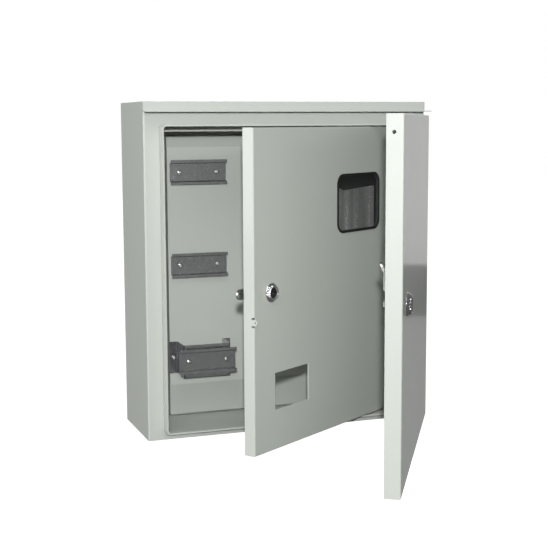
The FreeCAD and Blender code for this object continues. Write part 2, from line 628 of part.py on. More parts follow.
def build_outer_door():
    """Folded tray with a low hinge flange, notched for the hinges, and holes for lock and hanging."""
    body = outer_body("outer_door")
    height = "(%s - %s)" % (OUTER_TOP, OUTER_BOTTOM)
    folded_tray(body, OUTER_FREE, OUTER_BOTTOM, OUTER_WIDTH, height, OUTER_FACE, OUTER_BACK, "Steel")
    round_edges(body, "DoorBend", lambda edge: lies_at(edge, "y", OUTER_FACE))
    relief = front_sketch(body, OUTER_BACK)
    draw_box(relief, "%s - LowFlangeWidth" % OUTER_EDGE, "%s - CutMargin" % OUTER_BOTTOM,
             "LowFlangeWidth + CutMargin", "%s + 2 * CutMargin" % height)
    pocket(body, relief, "OuterDepth - LowFlange", along=True)
    notches = front_sketch(body, OUTER_BACK)
    for i in (-1, 1):
        draw_box(notches, "%s - 2 * Steel" % OUTER_EDGE, "%d * HingeRise - HingeFoot - NotchMargin" % i,
                 "3 * Steel", "HingeFoot + 2 * NotchMargin")
    pocket(body, notches, "OuterDepth - 2 * Steel", along=True)
    x, z, face = LOCKS["Outer"]
    bore(body, [(x, z)], "OuterBarrel + 2 * LockHoleClear", face, "Steel")
    hang = side_sketch(body, "%s + 2 * Steel" % OUTER_FREE)
    draw_circle(hang, "%s + HangHoleDepth" % OUTER_FACE, "%s - HangHoleDrop" % OUTER_TOP, "HangHole")
    pocket(body, hang, "3 * Steel")
    return body


def build_outer_seal():
    """Foam strip inside the outer door, opposite the lip of the frame."""
    body = outer_body("outer_door_seal")
    ring = front_sketch(body, "%s + Steel" % OUTER_FACE)
    left = "(%s - %s)" % (OPEN_LEFT, OUTER_X)
    out = "(SealWidth - LipThick) / 2"
    draw_round_box(ring, "%s - %s" % (left, out), "%s - %s" % (OPEN_BOTTOM, out), "%s + 2 * %s" % (OPEN_WIDTH, out),
                   "%s + 2 * %s" % (OPEN_HEIGHT, out), "LipCorner + %s" % out)
    inset = "(SealWidth + LipThick) / 2"
    draw_round_box(ring, "%s + %s" % (left, inset), "%s + %s" % (OPEN_BOTTOM, inset),
                   "%s - 2 * %s" % (OPEN_WIDTH, inset), "%s - 2 * %s" % (OPEN_HEIGHT, inset), "LipCorner - LipThick")
    pad(body, ring, "OuterGap + OuterDepth - Steel - LipReach - SealGap", backward=True)
    return body


def build_inner_door():
    """Folded tray with a window, a slot for breakers, a lock hole and a seal tab at the free edge."""
    body = inner_body("inner_door")
    height = "(%s - %s)" % (INNER_TOP, INNER_BOTTOM)
    folded_tray(body, INNER_FREE, INNER_BOTTOM, INNER_WIDTH, height, INNER_FACE, INNER_BACK, "Steel")
    round_edges(body, "DoorBend", lambda edge: lies_at(edge, "y", INNER_FACE))
    middle = "(InnerLockRise - TabDrop)"
    relief = side_sketch(body, "%s - CutMargin" % INNER_FREE)
    draw_box(relief, "%s - CutMargin" % INNER_FACE, "%s - TabHeight / 2" % middle, "TabBack + CutMargin", "TabHeight")
    pocket(body, relief, "CutMargin + DoorBend + Steel", along=True)
    tab = side_sketch(body, INNER_FREE)
    draw_box(tab, "%s - TabReach" % INNER_FACE, "%s - TabHeight / 2 + TabRelief" % middle,
             "TabReach + TabBack", "TabHeight - 2 * TabRelief")
    pad(body, tab, "Steel")
    front = "%s - TabReach" % INNER_FACE
    round_edges(body, "0.8 * TabReach", lambda edge: runs_along(edge, "x") and lies_at(edge, "y", front))
    eye = side_sketch(body, "%s - CutMargin" % INNER_FREE)
    draw_circle(eye, "%s - TabReach / 3" % INNER_FACE, middle, "TabHole")
    pocket(body, eye, "2 * CutMargin + Steel", along=True)
    x, z, face = LOCKS["Inner"]
    cuts = front_sketch(body, face)
    draw_round_box(cuts, WINDOW_X, WINDOW_Z, "WindowWidth", "WindowHeight", "WindowCorner")
    draw_box(cuts, "RailCentre + SlotShift - %s - SlotWidth / 2" % INNER_X, "%s - SlotHeight / 2" % RAIL_LOW,
             "SlotWidth", "SlotHeight")
    draw_circle(cuts, x, z, "InnerBarrel + 2 * LockHoleClear")
    pocket(body, cuts, "Steel")
    for low in ("%s - Steel" % INNER_TOP, INNER_BOTTOM):
        upright_bore(body, "0", "0", "HingePin + 2 * PinClear", low, "Steel")
    return body


def build_inner_brackets():
    """Angles on the right wall above and below the inner door."""
    body = new_body("inner_hinge_brackets")
    wall = "(BoxWidth / 2 - Steel)"
    nose = "(%s - PivotWidth / 2)" % INNER_X
    ends = (("(%s + PivotGap)" % INNER_TOP, "PivotPlate", "PivotLegHigh"),
            ("(%s - PivotGap)" % INNER_BOTTOM, "(-PivotPlate)", "(-PivotLegLow)"))
    for level, thick, leg in ends:
        front = front_sketch(body, INNER_Y)
        far = "%s + %s" % (level, thick)
        draw_outline(front, [(nose, level), (wall, level), (wall, "%s + %s" % (level, leg)),
                             ("%s - PivotPlate" % wall, "%s + %s" % (level, leg)), ("%s - PivotPlate" % wall, far),
                             (nose, far)])
        pad(body, front, "PivotWidth", middle=True)
    for low in ("%s + PivotGap" % INNER_TOP, "%s - PivotGap - PivotPlate" % INNER_BOTTOM):
        upright_bore(body, INNER_X, INNER_Y, "HingePin + 2 * PinClear", low, "PivotPlate")
    round_edges(body, "PivotWidth / 2 - 1", lambda edge: runs_along(edge, "z") and lies_at(edge, "x", nose))
    return body


def build_inner_pins():
    """Pins of the inner door, headed above the upper angle and below the lower one."""
    body = new_body("inner_hinge_pins")
    length = "(PivotPlate + PivotGap + Steel + PivotReach)"
    top = "(%s + PivotGap + PivotPlate)" % INNER_TOP
    upright_disc(body, INNER_X, INNER_Y, "PinHead", top, "PinHeadHigh")
    upright_disc(body, INNER_X, INNER_Y, "HingePin", "%s - %s" % (top, length), length)
    low = "(%s - PivotGap - PivotPlate)" % INNER_BOTTOM
    upright_disc(body, INNER_X, INNER_Y, "PinHead", "%s - PinHeadHigh" % low, "PinHeadHigh")
    upright_disc(body, INNER_X, INNER_Y, "HingePin", low, length)
    return body


def draw_window(sketch, out):
    """Draws the outline of the window grown by a formula on every side."""
    draw_round_box(sketch, "%s - %s" % (WINDOW_X, out), "%s - %s" % (WINDOW_Z, out),
                   "WindowWidth + 2 * %s" % out, "WindowHeight + 2 * %s" % out, "WindowCorner + %s" % out)


def build_gasket():
    """Rubber ring with a groove for the door's sheet outside and one for the pane inside."""
    body = inner_body("window_gasket")
    layers = (("%s - GasketThick" % INNER_FACE, "GasketThick", "GasketOut", "(-GasketIn)"),
              (INNER_FACE, "Steel", "(-GasketClear)", "(-GasketWeb)"),
              ("%s + Steel" % INNER_FACE, "PaneThick - Steel", "GasketOut", "(-GasketWeb)"),
              ("%s + PaneThick" % INNER_FACE, "GasketThick", "GasketOut", "(-GasketIn)"))
    for start, thick, out, inner in layers:
        ring = front_sketch(body, start)
        draw_window(ring, out)
        draw_window(ring, inner)
        pad(body, ring, thick, backward=True)
    return body


def build_pane():
    """Clear pane held in the ring."""
    body = inner_body("window_pane")
    outline = front_sketch(body, INNER_FACE)
    draw_window(outline, "(-GasketWeb - GasketClear)")
    pad(body, outline, "PaneThick", backward=True)
    return body


def build_housing(prefix, body):
    """Lock housing: a tapered bezel in front of the door and a barrel through it."""
    x, z, face = LOCKS[prefix]
    wide, small, barrel = ["%s%s / 2" % (prefix, name) for name in ("Bezel", "BezelFront", "Barrel")]
    hole = "(%sPlug / 2 + PinClear)" % prefix
    front = "(%s - %sBezelHigh)" % (face, prefix)
    end = "(%s + %sBarrelLong)" % (face, prefix)
    turned(body, x, z, [(hole, end), (hole, front), (small, front), (wide, face), (barrel, face), (barrel, end)])
    return body


def build_nut(prefix, body):
    """Hexagonal nut on the barrel behind the door's sheet."""
    x, z, face = LOCKS[prefix]
    start = "(%s + Steel)" % face
    hexagon(body, x, z, prefix + "Nut", start, "NutHigh")
    bore(body, [(x, z)], "%sBarrel + 2 * PinClear" % prefix, start, "NutHigh")
    return body


def build_plug(prefix, body, upright):
    """Turning plug with its key slot in front and the square shank for the cam behind."""
    x, z, face = LOCKS[prefix]
    front = "(%s - %sBezelHigh + PlugSink)" % (face, prefix)
    cam = "(%s + %sCamDepth)" % (face, prefix)
    disc(body, x, z, prefix + "Plug", front, "%s - %s" % (cam, front))
    shank = front_sketch(body, cam)
    draw_box(shank, "%s - ShankSquare / 2" % x, "%s - ShankSquare / 2" % z, "ShankSquare", "ShankSquare")
    pad(body, shank, "CamThick", backward=True)
    slot = front_sketch(body, front)
    wide, high = ("KeySlotWide", "KeySlotLong") if upright else ("KeySlotLong", "KeySlotWide")
    draw_box(slot, "%s - %s / 2" % (x, wide), "%s - %s / 2" % (z, high), wide, high)
    pocket(body, slot, "KeySlotDeep")
    return body


def build_cam_screw(prefix, body):
    """Hexagonal screw head that holds the cam on the plug."""
    x, z, face = LOCKS[prefix]
    hexagon(body, x, z, "CamScrewWide", "(%s + %sCamDepth + CamThick)" % (face, prefix), "CamScrewHigh")
    return body


def cut_square(body, x, z, start):
    """Cuts the square hole that sits on the plug's shank."""
    size = "(ShankSquare + 2 * ShankClear)"
    square = front_sketch(body, start)
    draw_box(square, "%s - %s / 2" % (x, size), "%s - %s / 2" % (z, size), size, size)
    pocket(body, square, "CamThick")


def build_outer_cam():
    """Joggled cam of the outer lock, turned up at rest, with its tip bent further in."""
    body = outer_body("outer_cam")
    x, z, face = LOCKS["Outer"]
    root = "(%s + OuterCamDepth)" % face
    heel = "(-OuterCamWide / 2)"
    levels = [(heel, "0"), ("JogStart", "0"), ("JogStart + JogRun", "JogDepth"), ("TipStart", "JogDepth"),
              ("OuterCamLong", "(JogDepth + TipBend)")]
    corners = [("%s + %s" % (root, depth), "%s + %s" % (z, reach)) for reach, depth in levels]
    corners += [("%s + CamThick" % y, up) for y, up in reversed(corners)]
    side = side_sketch(body, x)
    draw_outline(side, corners)
    pad(body, side, "OuterCamWide", middle=True)
    for reach, radius in ((heel, "0.45 * OuterCamWide"), ("OuterCamLong", "OuterCamWide / 4")):
        end = "%s + %s" % (z, reach)
        round_edges(body, radius, lambda edge: runs_along(edge, "y") and lies_at(edge, "z", end))
    cut_square(body, x, z, root)
    return body


def build_inner_cam():
    """Straight cam of the inner lock, turned out past the free edge at rest."""
    body = inner_body("inner_cam")
    x, z, face = LOCKS["Inner"]
    root = "(%s + InnerCamDepth)" % face
    outline = front_sketch(body, root)
    draw_round_box(outline, "%s - InnerCamLong" % x, "%s - InnerCamWide / 2" % z,
                   "InnerCamLong + InnerCamWide / 2", "InnerCamWide", "0.48 * InnerCamWide")
    pad(body, outline, "CamThick", backward=True)
    cut_square(body, x, z, root)
    return body


def build_lock(prefix, start_body, upright):
    """Builds one lock but for its cam."""
    name = prefix.lower()
    return [build_housing(prefix, start_body(name + "_lock_housing")),
            build_nut(prefix, start_body(name + "_lock_nut")),
            build_plug(prefix, start_body(name + "_lock_plug"), upright),
            build_cam_screw(prefix, start_body(name + "_cam_screw"))]


def build_rails():
    """Builds the three rails, the bracket of the lowest one, and their rivets and screws."""
    seats = (("upper_rail", RAIL_HIGH, PLATE_FACE), ("middle_rail", "RailMiddle", PLATE_FACE),
             ("lower_rail", RAIL_LOW, BRACKET_FACE))
    rivets = [(x, rise, "(%s - RailThick)" % seat) for label, rise, seat in seats for x in rivet_places()]
    screws = [(x, RAIL_LOW, "(%s - BracketSheet)" % PLATE_FACE) for x in ear_places()]
    return [build_rail(*seat) for seat in seats] + [
        build_rail_bracket(),
        build_fasteners("rail_rivets", rivets, disc, "RivetHead", "RivetHeadHigh", "RivetShank", "RailThick + RivetTail"),
        build_fasteners("bracket_screws", screws, disc, "EarScrewHead", "EarScrewHeadHigh", "EarScrewShank",
                        "BracketSheet")]


def check(bodies):
    """Stops where an object has failed or a sub-part has no sound solid."""
    failed = [item.Name for item in doc.Objects if "Invalid" in item.State or "Error" in item.State]
    failed += [item.Label for item in bodies if item.Shape.isNull() or not item.Shape.isValid()]
    if failed:
        raise RuntimeError("failed: " + ", ".join(failed))


def main():
    """Builds every sub-part and writes one file for each."""
    bodies = [build_cabinet(), build_rain_ledge(), build_door_stop(), build_lock_strike(), build_mounting_tray(),
              build_component_plate(), *build_rails(), build_insulating_board(), build_meter_plate(),
              build_spacers(),
              build_fasteners("meter_plate_screws", spacer_places(), hexagon, "MeterScrewHead",
                              "MeterScrewHeadHigh", "MeterScrewShank", "MeterStand / 2"),
              build_outer_brackets(), build_outer_pins(), build_inner_brackets(), build_inner_pins(),
              build_outer_door(), build_outer_seal(), build_outer_knuckles(), *build_lock("Outer", outer_body, True),
              build_outer_cam(), build_inner_door(), build_gasket(), build_pane(),
              *build_lock("Inner", inner_body, False), build_inner_cam()]
    doc.recompute()
    check(bodies)
    os.makedirs("parts", exist_ok=True)
    for body in bodies:
        body.Shape.exportStep("parts/%s.step" % body.Label)


main()
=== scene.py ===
import json
import math

import bpy
import numpy as np
from mathutils import Matrix, Vector


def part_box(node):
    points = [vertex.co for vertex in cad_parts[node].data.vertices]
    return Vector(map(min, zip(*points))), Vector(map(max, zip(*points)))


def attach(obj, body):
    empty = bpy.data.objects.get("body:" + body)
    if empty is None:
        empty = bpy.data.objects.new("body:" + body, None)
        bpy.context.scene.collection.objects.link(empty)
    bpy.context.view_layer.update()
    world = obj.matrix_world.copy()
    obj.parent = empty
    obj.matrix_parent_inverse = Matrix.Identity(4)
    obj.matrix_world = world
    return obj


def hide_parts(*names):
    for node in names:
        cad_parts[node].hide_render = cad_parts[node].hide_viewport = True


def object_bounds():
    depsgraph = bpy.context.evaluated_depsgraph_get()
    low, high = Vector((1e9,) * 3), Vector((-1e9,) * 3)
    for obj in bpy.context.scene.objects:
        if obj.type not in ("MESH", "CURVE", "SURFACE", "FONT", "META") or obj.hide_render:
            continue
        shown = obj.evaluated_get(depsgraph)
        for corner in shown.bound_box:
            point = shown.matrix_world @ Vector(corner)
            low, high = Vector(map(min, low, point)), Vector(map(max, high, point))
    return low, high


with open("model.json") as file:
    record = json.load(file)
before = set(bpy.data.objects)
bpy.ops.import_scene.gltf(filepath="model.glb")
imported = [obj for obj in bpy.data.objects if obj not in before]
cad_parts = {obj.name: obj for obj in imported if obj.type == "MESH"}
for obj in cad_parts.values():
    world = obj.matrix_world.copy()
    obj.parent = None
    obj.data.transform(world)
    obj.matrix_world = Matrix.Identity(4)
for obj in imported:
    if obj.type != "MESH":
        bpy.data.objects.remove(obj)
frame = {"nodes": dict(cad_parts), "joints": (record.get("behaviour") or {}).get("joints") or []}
CAD_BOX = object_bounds()

bl_info = {
    "name": "Electric meter box",
    "version": (1, 0, 0),
    "blender": (4, 5, 0),
    "location": "3D View > Sidebar > Meter box",
    "description": "Finishes of a folded steel meter box, with its locks, rivets and screws in detail",
    "category": "Object",
}

FULL_TURN = 2 * math.pi
WHITE = (1, 1, 1, 1)
FILM_WIDTH = 36
FARTHEST_VIEW = 100
PAINTED = ("cabinet_shell", "rain_ledge", "door_stop_strip", "lock_strike", "component_plate",
           "outer_hinge_brackets", "inner_hinge_brackets", "outer_door", "outer_door_knuckles", "inner_door")
GALVANISED = ("upper_rail", "middle_rail", "lower_rail", "rail_bracket")
PLATED = ("bracket_screws", "meter_plate_screws", "meter_plate_spacers", "outer_hinge_pins",
          "inner_hinge_pins", "outer_lock_nut", "inner_lock_nut", "outer_cam", "outer_cam_screw", "inner_cam",
          "inner_cam_screw")
JOINTS = {joint["name"]: joint for joint in frame["joints"]}
# Each light has a place, a target, a width and height, the setting of its power and its part of that power.
LIGHTS = {
    "key_light": ((-0.6, -1.75, 0.33), (0, -0.1, 0), (0.04, 0.04), "key_power", 1),
    "front_light": ((-0.1, -2.6, 0.55), (0, -0.1, 0), (1.4, 0.25), "front_power", 1),
    "top_light": ((-0.6, -1.3, 1.7), (0, -0.1, 0), (1.0, 1.0), "top_power", 1),
    "left_light": ((-2.4, 0.1, 0.5), (0, -0.1, 0), (1.4, 1.4), "left_power", 1),
    "rear_light": ((1.9, 2.2, 0.45), (0.1, -0.3, 0.45), (1.6, 1.6), "rear_power", 1),
    "rear_low_light": ((1.9, 2.2, -0.95), (0.1, -0.3, -0.95), (1.6, 0.8), "rear_power", 0.25),
}


def length(name, description, value):
    """Returns a setting in metres."""
    return bpy.props.FloatProperty(name=name, description=description, default=value, min=0, unit="LENGTH")


def amount(name, description, value, lowest=0.0):
    """Returns a setting without a unit."""
    return bpy.props.FloatProperty(name=name, description=description, default=value, min=lowest)


def share(name, description, value):
    """Returns a setting from 0 to 1."""
    return bpy.props.FloatProperty(name=name, description=description, default=value, min=0, max=1,
                                   subtype="FACTOR")


def power(name, description, value):
    """Returns the setting of a light's power."""
    return bpy.props.FloatProperty(name=name, description=description, default=value, min=0, unit="POWER")


def shade(name, description, value):
    """Returns the setting of a colour."""
    return bpy.props.FloatVectorProperty(name=name, description=description, default=value, size=4,
                                         min=0, max=1, subtype="COLOR")


def lengths(name, description, values):
    """Returns a setting of four lengths in metres."""
    return bpy.props.FloatVectorProperty(name=name, description=description, default=values, size=4,
                                         unit="LENGTH")


def count(name, description, value):
    """Returns the setting of a number of things."""
    return bpy.props.IntProperty(name=name, description=description, default=value, min=0)


class PaintSettings(bpy.types.PropertyGroup):
    """Powder coat on every folded sheet."""
    colour: shade("Paint colour", "Light grey of the powder coat", (0.46, 0.485, 0.45, 1))
    roughness: share("Roughness", "How soft the paint's reflections are", 0.5)
    # Painted shade: the tray gets a darker copy of the same powder coat, standing in for the shade inside the
    # box.
    tray_painted_shade: share("Tray shade", "Shade of the tray against the rest of the paint", 0.84)
    peel_scale: amount("Orange peel scale", "Dimples of the paint per metre", 420, 1)
    peel_depth: length("Orange peel depth", "Depth of the paint's dimples", 0.00003)
    wave_scale: amount("Sheet wave scale", "Waves of the sheet per metre", 7, 0.1)
    wave_depth: length("Sheet wave depth", "Depth of the sheet's slow waves", 0.0007)


class MetalSettings(bpy.types.PropertyGroup):
    """Bare metals, rubber and the clear pane."""
    zinc: shade("Galvanised colour", "Colour of the zinc-coated sheet", (0.42, 0.42, 0.44, 1))
    # Painted light: the meter plate gets a lighter copy of the same zinc, standing in for light on it behind
    # the window.
    plate_painted_light: amount("Meter plate shade", "Shade of the meter plate against the rails", 2)
    spangle_scale: amount("Spangle scale", "Zinc crystals per metre", 600, 1)
    grain_depth: length("Grain depth", "Depth of the zinc's grain", 0.00002)
    streaks: amount("Streaks", "How strongly the meter plate is streaked", 1)
    plating: shade("Plating colour", "Colour of the plated small parts", (0.55, 0.55, 0.54, 1))
    chrome: shade("Chrome colour", "Colour of the lock bezels", (0.78, 0.78, 0.79, 1))
    rubber: shade("Rubber colour", "Colour of the window's ring and the seal", (0.012, 0.012, 0.013, 1))
    pane_alpha: share("Pane opacity", "How much the pane hides what is behind it", 0.015)


class FastenerSettings(bpy.types.PropertyGroup):
    """Heads of the rivets and screws."""
    rivet_radius: length("Rivet head radius", "Radius of a rivet's head", 0.0031)
    rivet_height: length("Rivet head height", "Height of a rivet's head", 0.0016)
    rivet_eye: length("Rivet eye radius", "Radius of the hollow in a rivet's head", 0.0009)
    ear_radius: length("Bracket screw radius", "Radius of a bracket screw's head", 0.003)
    ear_height: length("Bracket screw height", "Height of a bracket screw's head", 0.002)
    sheet: length("Rail sheet", "Thickness of the rails", 0.001)
    ear_sheet: length("Bracket sheet", "Thickness of the rail bracket", 0.0015)


class LockSettings(bpy.types.PropertyGroup):
    """Bezels of the two locks."""
    outer_radii: lengths("Outer lock radii", "Bore, front, foot and barrel", (0.0065, 0.011, 0.0135, 0.009))
    inner_radii: lengths("Inner lock radii", "Bore, front, foot and barrel", (0.00555, 0.0094, 0.0121, 0.008))
    door_sheet: length("Door sheet", "Thickness of the doors between bezel and nut", 0.0012)
    dish: length("Dish", "Depth of the bezel's dished front", 0.0012)
    outer_flutes: count("Outer flutes", "Flutes round the outer bezel", 20)
    inner_flutes: count("Inner flutes", "Flutes round the inner bezel", 18)
    flute_depth: length("Flute depth", "Depth of a flute", 0.001)


class StageSettings(bpy.types.PropertyGroup):
    """Camera, floor and studio light."""
    camera_place: bpy.props.FloatVectorProperty(
        name="Camera place", description="Where the camera stands", size=3, subtype="XYZ", unit="LENGTH",
        default=(-0.5599, -1.617, 0.1941))
    camera_turn: bpy.props.FloatVectorProperty(
        name="Camera turn", description="Turn to the right, tilt up and roll", size=3, subtype="EULER",
        unit="ROTATION", default=[math.radians(angle) for angle in (19.82, -7.25, -0.26)])
    lens: amount("Focal length", "In millimetres, for a frame 36 mm wide", 77.75, 1)
    floor_drop: length("Floor drop", "How far the floor lies under the wall box", 0.9)
    key_power: power("Key light", "Power of the small light over the camera", 23)
    top_power: power("Top light", "Power of the large light overhead", 12)
    front_power: power("Front light", "Power of the wide light in front", 10)
    left_power: power("Left light", "Power of the large light at the left", 34)
    rear_power: power("Rear light", "Power of the large light behind at the right", 10.5)
    sky: amount("Sky light", "Strength of the room light from straight above", 0.16)
    ground: amount("Ground light", "Strength of the room light from straight below", 0.09)


class Number:
    """A number socket of a finish, on which plain arithmetic adds Math nodes."""

    def __init__(self, finish, socket):
        self.finish = finish
        self.socket = socket

    def math(self, operation, *terms):
        made = self.finish.node("ShaderNodeMath", {"operation": operation}, dict(enumerate(terms)))
        return Number(self.finish, made.outputs[0])

    def __add__(self, other):
        return self.math("ADD", self, other)

    def __sub__(self, other):
        return self.math("SUBTRACT", self, other)

    def __rsub__(self, other):
        return self.math("SUBTRACT", other, self)

    def __mul__(self, other):
        return self.math("MULTIPLY", self, other)

    __radd__ = __add__
    __rmul__ = __mul__


class Finish:
    """A material under construction: its node tree and its main shader."""

    def __init__(self, name, constants):
        self.material = bpy.data.materials.new(name)
        self.material.use_nodes = True
        self.tree = self.material.node_tree
        self.shader = next(item for item in self.tree.nodes if item.type == "BSDF_PRINCIPLED")
        for socket, value in constants.items():
            self.shader.inputs[socket].default_value = value
        self.place = self.node("ShaderNodeTexCoord").outputs["Object"]

    def node(self, kind, settings=None, sockets=None):
        """Adds a node, sets its settings first and then the values or links of its sockets."""
        made = self.tree.nodes.new(kind)
        for name, value in (settings or {}).items():
            setattr(made, name, value)
        for name, value in (sockets or {}).items():
            self.feed(made.inputs[name], value)
        return made

    def feed(self, socket, value):
        """Links a socket to a number or another socket, or sets its value."""
        if isinstance(value, Number):
            self.tree.links.new(value.socket, socket)
        elif isinstance(value, bpy.types.NodeSocket):
            self.tree.links.new(value, socket)
        else:
            socket.default_value = value

    def stretched(self, stretch):
        """Returns the object's coordinates multiplied along each axis."""
        return self.node("ShaderNodeMapping", None, {"Vector": self.place, "Scale": stretch}).outputs[0]

    def noise(self, scale, detail, stretch=None):
        """Returns cloudy noise about zero, from -0.5 to 0.5: the scale is blotches per metre."""
        place = self.stretched(stretch) if stretch else self.place
        made = self.node("ShaderNodeTexNoise", None, {"Vector": place, "Scale": scale, "Detail": detail})
        return Number(self, made.outputs[0]) - 0.5

    def cells(self, scale):
        """Returns one even random number for each crystal, about zero."""
        made = self.node("ShaderNodeTexVoronoi", None, {"Vector": self.place, "Scale": scale})
        split = self.node("ShaderNodeSeparateColor", None, {0: made.outputs["Color"]})
        return Number(self, split.outputs[0]) - 0.5

    def mix(self, part, first, second):
        """Returns a colour between two: the second one's part goes from 0 to 1."""
        made = self.node("ShaderNodeMix", {"data_type": "RGBA"}, {0: part, 6: first, 7: second})
        return made.outputs[2]

    def tint(self, colour, change):
        """Returns a colour made lighter or darker by a number about zero: half as light at -0.5."""
        return self.mix(change + 0.5, shaded(colour, 0.5), shaded(colour, 1.5))

    def colour(self, value):
        self.feed(self.shader.inputs["Base Color"], value)

    def roughness(self, value):
        self.feed(self.shader.inputs["Roughness"], value)

    def bump(self, height):
        """Raises the surface by a number in metres."""
        made = self.node("ShaderNodeBump", None, {"Height": height, "Distance": 1.0, "Strength": 1.0})
        self.feed(self.shader.inputs["Normal"], made.outputs[0])


def shaded(colour, factor):
    """Returns a colour made lighter or darker by a factor, and opaque."""
    return tuple(min(1, channel * factor) for channel in colour[:3]) + (1,)


def powder_coat(settings, name, factor):
    """Light grey paint, darker by a factor: fine dimples, slow waves and slight changes of tone and gloss."""
    finish = Finish(name, {"Coat Weight": 0.25, "Coat Roughness": 0.13, "IOR": 1.5})
    peel = finish.noise(settings.peel_scale, detail=1)
    wave = finish.noise(settings.wave_scale, detail=0)
    cloud = finish.noise(scale=5, detail=3)
    haze = finish.noise(scale=38, detail=3)
    finish.colour(finish.tint(shaded(settings.colour, factor), cloud * 0.05 + peel * 0.03))
    finish.roughness(settings.roughness + haze * 0.12)
    finish.bump(peel * settings.peel_depth * 2 + wave * settings.wave_depth)
    return finish.material


def galvanised(settings, name, factor, streaks):
    """Zinc-coated sheet: crystals of uneven shade and gloss, a sparkling grain and upright streaks."""
    finish = Finish(name, {"Metallic": 0.92, "Specular IOR Level": 0.5})
    base_roughness = 0.22
    spangle = finish.cells(settings.spangle_scale)
    grain = finish.noise(scale=650, detail=3)
    streak = finish.noise(scale=90, detail=3, stretch=(1, 1, 0.04)) * streaks
    finish.colour(finish.tint(shaded(settings.zinc, factor), spangle * 0.2 + grain * 0.5 + streak * 1.6))
    finish.roughness(spangle * 0.05 + grain * 0.2 + streak * 0.4 + base_roughness)
    finish.bump(grain * settings.grain_depth * 2)
    return finish.material


def plated(settings):
    """Zinc plating: satin, a little cloudy."""
    finish = Finish("zinc_plating", {"Metallic": 1.0})
    base_roughness, grain_depth = 0.3, 0.00001
    cloud = finish.noise(scale=180, detail=4)
    finish.colour(finish.tint(settings.plating, cloud * 0.25))
    finish.roughness(cloud * 0.2 + base_roughness)
    finish.bump(finish.noise(scale=1600, detail=2) * grain_depth)
    return finish.material


def chrome(settings):
    """Bright chrome over a casting, with fine scuffs."""
    finish = Finish("lock_chrome", {"Metallic": 1.0})
    base_roughness, wave_depth = 0.1, 0.00001
    scuff = finish.noise(scale=700, detail=3, stretch=(1, 1, 5))
    finish.colour(finish.tint(settings.chrome, scuff * 0.12))
    finish.roughness(scuff * 0.12 + base_roughness)
    finish.bump(finish.noise(scale=300, detail=2) * wave_depth)
    return finish.material


def dark_satin():
    """Darkened metal of the inner lock's plug."""
    finish = Finish("dark_plug", {"Metallic": 0.6})
    dark, base_roughness, wear_depth = (0.03, 0.03, 0.033, 1), 0.35, 0.00002
    wear = finish.noise(scale=900, detail=3)
    finish.colour(finish.tint(dark, wear * 0.8))
    finish.roughness(wear * 0.2 + base_roughness)
    finish.bump(wear * wear_depth)
    return finish.material


def rubber(settings, name, depth):
    """Matt black rubber or foam with a fine skin."""
    finish = Finish(name, {"Specular IOR Level": 0.4})
    base_roughness = 0.55
    grain = finish.noise(scale=1500, detail=3)
    finish.colour(finish.tint(settings.rubber, grain * 0.5))
    finish.roughness(grain * 0.2 + base_roughness)
    finish.bump(grain * depth)
    return finish.material


def painted_shade_board():
    """Black board whose black is painted shade, set where there is only shade: satin, with the faint fibre of
    its pressing.
    """
    finish = Finish("painted_shade_board", {"Specular IOR Level": 0.1})
    black, base_roughness, fibre_depth = (0.006, 0.0055, 0.006, 1), 0.5, 0.00002
    fibre = finish.noise(scale=300, detail=4, stretch=(1, 1, 0.2))
    finish.colour(finish.tint(black, fibre * 0.6))
    finish.roughness(fibre * 0.2 + base_roughness)
    finish.bump(fibre * fibre_depth)
    return finish.material


def clear_pane(settings):
    """Clear plastic with faint smears that catch the light."""
    finish = Finish("clear_pane", {"Base Color": (0.8, 0.84, 0.84, 1), "IOR": 1.49})
    base_roughness = 0.06
    smear = finish.noise(scale=40, detail=4, stretch=(1, 1, 0.3))
    finish.roughness(smear * 0.08 + base_roughness)
    finish.feed(finish.shader.inputs["Alpha"], smear * 0.01 + settings.pane_alpha)
    return finish.material


def dress(material, nodes):
    """Gives CAD nodes a material."""
    for node in nodes:
        for slot in frame["nodes"][node].material_slots:
            slot.material = material


def new_piece(name, vertices, faces, material, body, record_slot, *nodes):
    """Makes a piece from points and faces, rides it on a body and lets it stand for CAD nodes."""
    mesh = bpy.data.meshes.new(name)
    mesh.from_pydata(vertices.reshape(-1, 3), [], faces)
    mesh.validate()
    mesh.shade_smooth()
    mesh.materials.append(material)
    piece = bpy.data.objects.new(name, mesh)
    bpy.context.scene.collection.objects.link(piece)
    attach(piece, body)
    if nodes:
        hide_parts(*nodes)


def grid_faces(rows, columns, close_rows=False):
    """Quads of a grid whose columns close on themselves, and its rows too where asked."""
    down = np.arange(rows if close_rows else rows - 1)[:, None]
    across = np.arange(columns)[None, :]
    row, below, right = down * columns, (down + 1) % rows * columns, (across + 1) % columns
    corners = (row + across, row + right, below + right, below + across)
    return np.stack(np.broadcast_arrays(*corners), axis=-1).reshape(-1, 4)


def even_angles(number):
    """Returns angles spread evenly round a circle."""
    return np.arange(number) / number * FULL_TURN


def turned_shape(radius, height, angle, centre, along, side):
    """Points about an axis: centre + height * along + radius * (cos(angle) * side + sin(angle) * up)."""
    along, side = np.array(along, float), np.array(side, float)
    up = np.cross(along, side)
    spoke = np.cos(angle)[..., None] * side + np.sin(angle)[..., None] * up
    return np.array(centre, float) + height[..., None] * along + radius[..., None] * spoke


